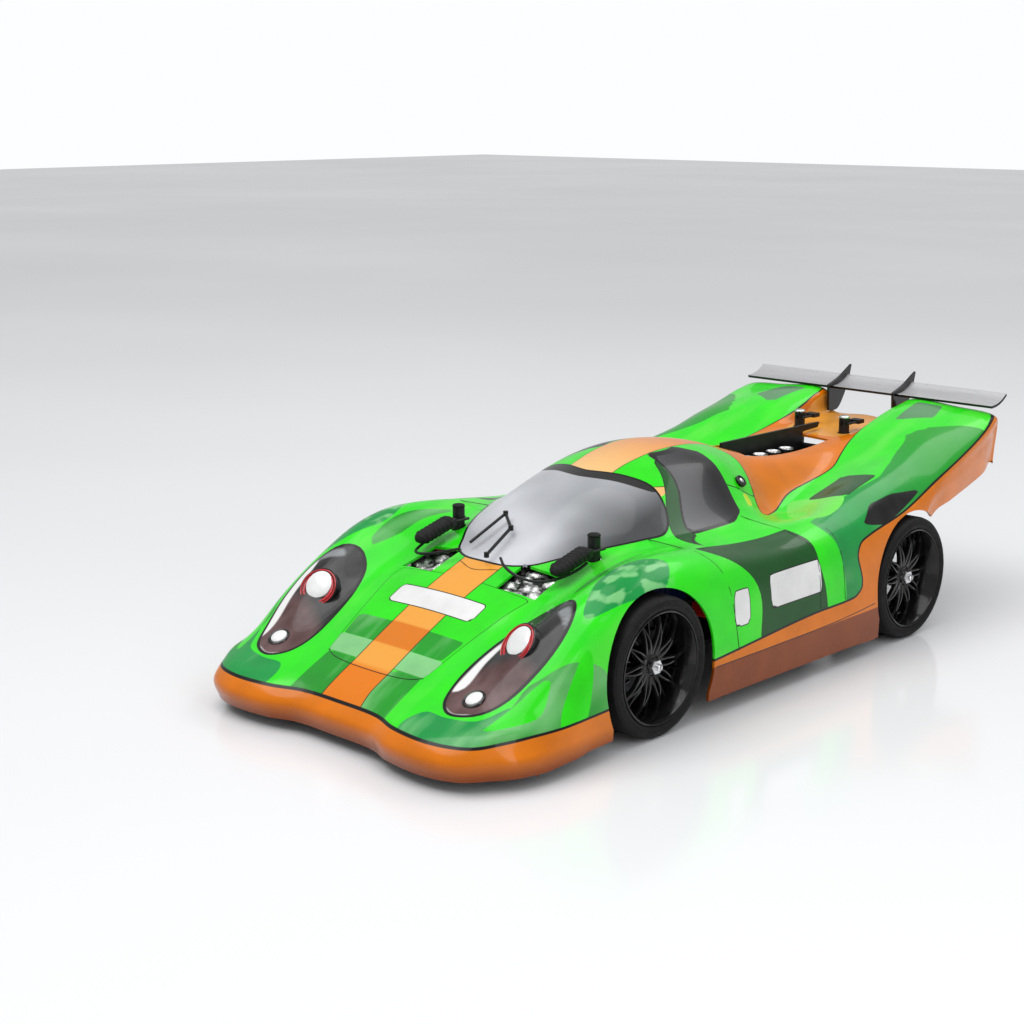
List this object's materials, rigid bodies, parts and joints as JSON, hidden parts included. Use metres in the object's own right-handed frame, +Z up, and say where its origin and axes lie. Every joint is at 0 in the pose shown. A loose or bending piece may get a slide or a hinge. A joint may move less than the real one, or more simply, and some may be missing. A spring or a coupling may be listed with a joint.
{
  "type": "rc drift car",
  "caption": "Radio-controlled drift car with a low closed coupe shell, twin tail fins, rear wing, steered front wheels and sprung arms at each corner.",
  "frame": {"origin": "on the ground midway between the nose and the tail, on the centre line", "axes": "+X to the car's left, -Y towards the nose, +Z up"},
  "size_m": [0.1968, 0.4395, 0.1203],
  "materials": {
    "shell_paint": "gloss",
    "black_plastic": "satin",
    "dark_metal": "satin",
    "steel": "satin",
    "tyre": "matt",
    "rim_black": "gloss",
    "foam": "matt",
    "battery_wrap": "satin",
    "lamp": "gloss"
  },
  "bodies": {
    "chassis": {"chassis_plate": "black_plastic", "front_bulkhead": "black_plastic", "rear_gearbox": "black_plastic", "drive_motor": "dark_metal", "battery_pack": "battery_wrap", "receiver_esc": "dark_metal", "steering_servo": "black_plastic", "front_bumper": "foam", "front_body_mount": "black_plastic", "rear_body_mount": "black_plastic"},
    "servo_horn": {"servo_saver": "dark_metal"},
    "shell": {"body_shell": "shell_paint", "engine_tray": "black_plastic", "rear_wing": "dark_metal", "wing_fin_left": "black_plastic", "wing_fin_right": "black_plastic", "light_bucket_left": "lamp", "light_bucket_right": "lamp", "filler_cap": "black_plastic", "windscreen_wiper": "black_plastic", "clip_tether_left": "black_plastic", "clip_tether_right": "black_plastic"},
    "arm_front_left": {"lower_arm_front_left": "black_plastic"},
    "link_front_left": {"upper_link_front_left": "steel"},
    "caster_front_left": {"caster_block_front_left": "black_plastic"},
    "knuckle_front_left": {"steering_knuckle_front_left": "dark_metal"},
    "tie_rod_left": {"tie_rod_left": "dark_metal"},
    "shock_body_front_left": {"shock_body_front_left": "dark_metal"},
    "shock_shaft_front_left": {"shock_shaft_front_left": "steel"},
    "wheel_front_left": {"tyre_front_left": "tyre", "rim_front_left": "rim_black"},
    "arm_front_right": {"lower_arm_front_right": "black_plastic"},
    "link_front_right": {"upper_link_front_right": "steel"},
    "caster_front_right": {"caster_block_front_right": "black_plastic"},
    "knuckle_front_right": {"steering_knuckle_front_right": "dark_metal"},
    "tie_rod_right": {"tie_rod_right": "dark_metal"},
    "shock_body_front_right": {"shock_body_front_right": "dark_metal"},
    "shock_shaft_front_right": {"shock_shaft_front_right": "steel"},
    "wheel_front_right": {"tyre_front_right": "tyre", "rim_front_right": "rim_black"},
    "arm_rear_left": {"lower_arm_rear_left": "black_plastic"},
    "link_rear_left": {"upper_link_rear_left": "steel"},
    "hub_rear_left": {"rear_hub_rear_left": "black_plastic"},
    "driveshaft_left": {"driveshaft_rear_left": "steel"},
    "shock_body_rear_left": {"shock_body_rear_left": "dark_metal"},
    "shock_shaft_rear_left": {"shock_shaft_rear_left": "steel"},
    "wheel_rear_left": {"tyre_rear_left": "tyre", "rim_rear_left": "rim_black"},
    "arm_rear_right": {"lower_arm_rear_right": "black_plastic"},
    "link_rear_right": {"upper_link_rear_right": "steel"},
    "hub_rear_right": {"rear_hub_rear_right": "black_plastic"},
    "driveshaft_right": {"driveshaft_rear_right": "steel"},
    "shock_body_rear_right": {"shock_body_rear_right": "dark_metal"},
    "shock_shaft_rear_right": {"shock_shaft_rear_right": "steel"},
    "wheel_rear_right": {"tyre_rear_right": "tyre", "rim_rear_right": "rim_black"},
    "clip_front_left": {"body_clip_front_left": "black_plastic"},
    "clip_rear_left": {"body_clip_rear_left": "black_plastic"},
    "clip_front_right": {"body_clip_front_right": "black_plastic"},
    "clip_rear_right": {"body_clip_rear_right": "black_plastic"}
  },
  "joints": [
    {"name": "servo_horn_turn", "type": "hinge", "parent": "chassis", "child": "servo_horn", "pos_m": [0, -0.076, 0.038], "axis": [0, 0, 1], "range_deg": [-26, 26]},
    {"name": "shell_lift", "type": "slide", "parent": "chassis", "child": "shell", "axis": [0, 0, 1], "range_m": [0, 0.12]},
    {"name": "arm_lift_front_left", "type": "hinge", "parent": "chassis", "child": "arm_front_left", "pos_m": [0.024, -0.1038, 0.014], "axis": [0, -1, 0], "range_deg": [-3.5, 4], "stiffness_Nm_per_rad": 4, "springref_deg": -1.72},
    {"name": "link_swing_front_left", "type": "hinge", "parent": "chassis", "child": "link_front_left", "pos_m": [0.024, -0.1098, 0.041], "axis": [0, -1, 0], "range_deg": [-3.5, 5]},
    {"name": "caster_level_front_left", "type": "hinge", "parent": "arm_front_left", "child": "caster_front_left", "pos_m": [0.06, -0.1038, 0.017], "axis": [0, -1, 0], "range_deg": [-5, 3.5]},
    {"name": "steer_front_left", "type": "hinge", "parent": "caster_front_left", "child": "knuckle_front_left", "pos_m": [0.066, -0.1038, 0.032], "axis": [0, 0, 1], "range_deg": [-26, 26]},
    {"name": "tie_rod_swing_left", "type": "hinge", "parent": "servo_horn", "child": "tie_rod_left", "pos_m": [0, -0.058, 0.0415], "axis": [0, 0, 1], "range_deg": [-26, 26]},
    {"name": "shock_tilt_front_left", "type": "hinge", "parent": "chassis", "child": "shock_body_front_left", "pos_m": [0.032, -0.0953, 0.06], "axis": [0, -1, 0], "range_deg": [-0.49, 0.55]},
    {"name": "shock_stroke_front_left", "type": "slide", "parent": "shock_body_front_left", "child": "shock_shaft_front_left", "axis": [0.4147, 0, -0.91], "range_m": [-0.00194, 0.00171]},
    {"name": "wheel_spin_front_left", "type": "hinge", "parent": "knuckle_front_left", "child": "wheel_front_left", "pos_m": [0.0835, -0.1038, 0.032], "axis": [1, 0, 0], "continuous": true},
    {"name": "arm_lift_front_right", "type": "hinge", "parent": "chassis", "child": "arm_front_right", "pos_m": [-0.024, -0.1038, 0.014], "axis": [0, 1, 0], "range_deg": [-3.5, 4], "stiffness_Nm_per_rad": 4, "springref_deg": -1.72},
    {"name": "link_swing_front_right", "type": "hinge", "parent": "chassis", "child": "link_front_right", "pos_m": [-0.024, -0.1098, 0.041], "axis": [0, 1, 0], "range_deg": [-3.5, 5]},
    {"name": "caster_level_front_right", "type": "hinge", "parent": "arm_front_right", "child": "caster_front_right", "pos_m": [-0.06, -0.1038, 0.017], "axis": [0, 1, 0], "range_deg": [-5, 3.5]},
    {"name": "steer_front_right", "type": "hinge", "parent": "caster_front_right", "child": "knuckle_front_right", "pos_m": [-0.066, -0.1038, 0.032], "axis": [0, 0, 1], "range_deg": [-26, 26]},
    {"name": "tie_rod_swing_right", "type": "hinge", "parent": "servo_horn", "child": "tie_rod_right", "pos_m": [0, -0.058, 0.0455], "axis": [0, 0, 1], "range_deg": [-26, 26]},
    {"name": "shock_tilt_front_right", "type": "hinge", "parent": "chassis", "child": "shock_body_front_right", "pos_m": [-0.032, -0.0953, 0.06], "axis": [0, 1, 0], "range_deg": [-0.49, 0.55]},
    {"name": "shock_stroke_front_right", "type": "slide", "parent": "shock_body_front_right", "child": "shock_shaft_front_right", "axis": [-0.4147, 0, -0.91], "range_m": [-0.00194, 0.00171]},
    {"name": "wheel_spin_front_right", "type": "hinge", "parent": "knuckle_front_right", "child": "wheel_front_right", "pos_m": [-0.0835, -0.1038, 0.032], "axis": [1, 0, 0], "continuous": true},
    {"name": "arm_lift_rear_left", "type": "hinge", "parent": "chassis", "child": "arm_rear_left", "pos_m": [0.024, 0.1038, 0.014], "axis": [0, -1, 0], "range_deg": [-3.5, 4], "stiffness_Nm_per_rad": 4, "springref_deg": -1.72},
    {"name": "link_swing_rear_left", "type": "hinge", "parent": "chassis", "child": "link_rear_left", "pos_m": [0.024, 0.0978, 0.041], "axis": [0, -1, 0], "range_deg": [-3.5, 5]},
    {"name": "hub_level_rear_left", "type": "hinge", "parent": "arm_rear_left", "child": "hub_rear_left", "pos_m": [0.06, 0.1038, 0.017], "axis": [0, -1, 0], "range_deg": [-5, 3.5]},
    {"name": "driveshaft_swing_left", "type": "hinge", "parent": "chassis", "child": "driveshaft_left", "pos_m": [0.024, 0.1038, 0.029], "axis": [0, -1, 0], "range_deg": [-3.5, 5]},
    {"name": "shock_tilt_rear_left", "type": "hinge", "parent": "chassis", "child": "shock_body_rear_left", "pos_m": [0.032, 0.1123, 0.06], "axis": [0, -1, 0], "range_deg": [-0.49, 0.55]},
    {"name": "shock_stroke_rear_left", "type": "slide", "parent": "shock_body_rear_left", "child": "shock_shaft_rear_left", "axis": [0.4147, 0, -0.91], "range_m": [-0.00194, 0.00171]},
    {"name": "wheel_spin_rear_left", "type": "hinge", "parent": "hub_rear_left", "child": "wheel_rear_left", "pos_m": [0.0835, 0.1038, 0.032], "axis": [1, 0, 0], "continuous": true},
    {"name": "arm_lift_rear_right", "type": "hinge", "parent": "chassis", "child": "arm_rear_right", "pos_m": [-0.024, 0.1038, 0.014], "axis": [0, 1, 0], "range_deg": [-3.5, 4], "stiffness_Nm_per_rad": 4, "springref_deg": -1.72},
    {"name": "link_swing_rear_right", "type": "hinge", "parent": "chassis", "child": "link_rear_right", "pos_m": [-0.024, 0.0978, 0.041], "axis": [0, 1, 0], "range_deg": [-3.5, 5]},
    {"name": "hub_level_rear_right", "type": "hinge", "parent": "arm_rear_right", "child": "hub_rear_right", "pos_m": [-0.06, 0.1038, 0.017], "axis": [0, 1, 0], "range_deg": [-5, 3.5]},
    {"name": "driveshaft_swing_right", "type": "hinge", "parent": "chassis", "child": "driveshaft_right", "pos_m": [-0.024, 0.1038, 0.029], "axis": [0, 1, 0], "range_deg": [-3.5, 5]},
    {"name": "shock_tilt_rear_right", "type": "hinge", "parent": "chassis", "child": "shock_body_rear_right", "pos_m": [-0.032, 0.1123, 0.06], "axis": [0, 1, 0], "range_deg": [-0.49, 0.55]},
    {"name": "shock_stroke_rear_right", "type": "slide", "parent": "shock_body_rear_right", "child": "shock_shaft_rear_right", "axis": [-0.4147, 0, -0.91], "range_m": [-0.00194, 0.00171]},
    {"name": "wheel_spin_rear_right", "type": "hinge", "parent": "hub_rear_right", "child": "wheel_rear_right", "pos_m": [-0.0835, 0.1038, 0.032], "axis": [1, 0, 0], "continuous": true},
    {"name": "clip_pull_front_left", "type": "slide", "parent": "shell", "child": "clip_front_left", "axis": [0, -1, 0], "range_m": [0, 0.014]},
    {"name": "clip_pull_rear_left", "type": "slide", "parent": "shell", "child": "clip_rear_left", "axis": [0, 1, 0], "range_m": [0, 0.014]},
    {"name": "clip_pull_front_right", "type": "slide", "parent": "shell", "child": "clip_front_right", "axis": [0, -1, 0], "range_m": [0, 0.014]},
    {"name": "clip_pull_rear_right", "type": "slide", "parent": "shell", "child": "clip_rear_right", "axis": [0, 1, 0], "range_m": [0, 0.014]}
  ],
  "couplings": [
    {"joint": "link_swing_front_left", "follows": "arm_lift_front_left", "ratio": 1},
    {"joint": "caster_level_front_left", "follows": "arm_lift_front_left", "ratio": -1},
    {"joint": "steer_front_left", "follows": "servo_horn_turn", "ratio": 1},
    {"joint": "tie_rod_swing_left", "follows": "servo_horn_turn", "ratio": -1},
    {"joint": "shock_tilt_front_left", "follows": "arm_lift_front_left", "ratio": 0.11211},
    {"joint": "shock_stroke_front_left", "follows": "arm_lift_front_left", "m_per_rad": -0.026355},
    {"joint": "link_swing_front_right", "follows": "arm_lift_front_right", "ratio": 1},
    {"joint": "caster_level_front_right", "follows": "arm_lift_front_right", "ratio": -1},
    {"joint": "steer_front_right", "follows": "servo_horn_turn", "ratio": 1},
    {"joint": "tie_rod_swing_right", "follows": "servo_horn_turn", "ratio": -1},
    {"joint": "shock_tilt_front_right", "follows": "arm_lift_front_right", "ratio": 0.11211},
    {"joint": "shock_stroke_front_right", "follows": "arm_lift_front_right", "m_per_rad": -0.026355},
    {"joint": "link_swing_rear_left", "follows": "arm_lift_rear_left", "ratio": 1},
    {"joint": "hub_level_rear_left", "follows": "arm_lift_rear_left", "ratio": -1},
    {"joint": "driveshaft_swing_left", "follows": "arm_lift_rear_left", "ratio": 1},
    {"joint": "shock_tilt_rear_left", "follows": "arm_lift_rear_left", "ratio": 0.11211},
    {"joint": "shock_stroke_rear_left", "follows": "arm_lift_rear_left", "m_per_rad": -0.026355},
    {"joint": "link_swing_rear_right", "follows": "arm_lift_rear_right", "ratio": 1},
    {"joint": "hub_level_rear_right", "follows": "arm_lift_rear_right", "ratio": -1},
    {"joint": "driveshaft_swing_right", "follows": "arm_lift_rear_right", "ratio": 1},
    {"joint": "shock_tilt_rear_right", "follows": "arm_lift_rear_right", "ratio": 0.11211},
    {"joint": "shock_stroke_rear_right", "follows": "arm_lift_rear_right", "m_per_rad": -0.026355},
    {"joint": "wheel_spin_rear_right", "follows": "wheel_spin_rear_left", "ratio": 1}
  ]
}
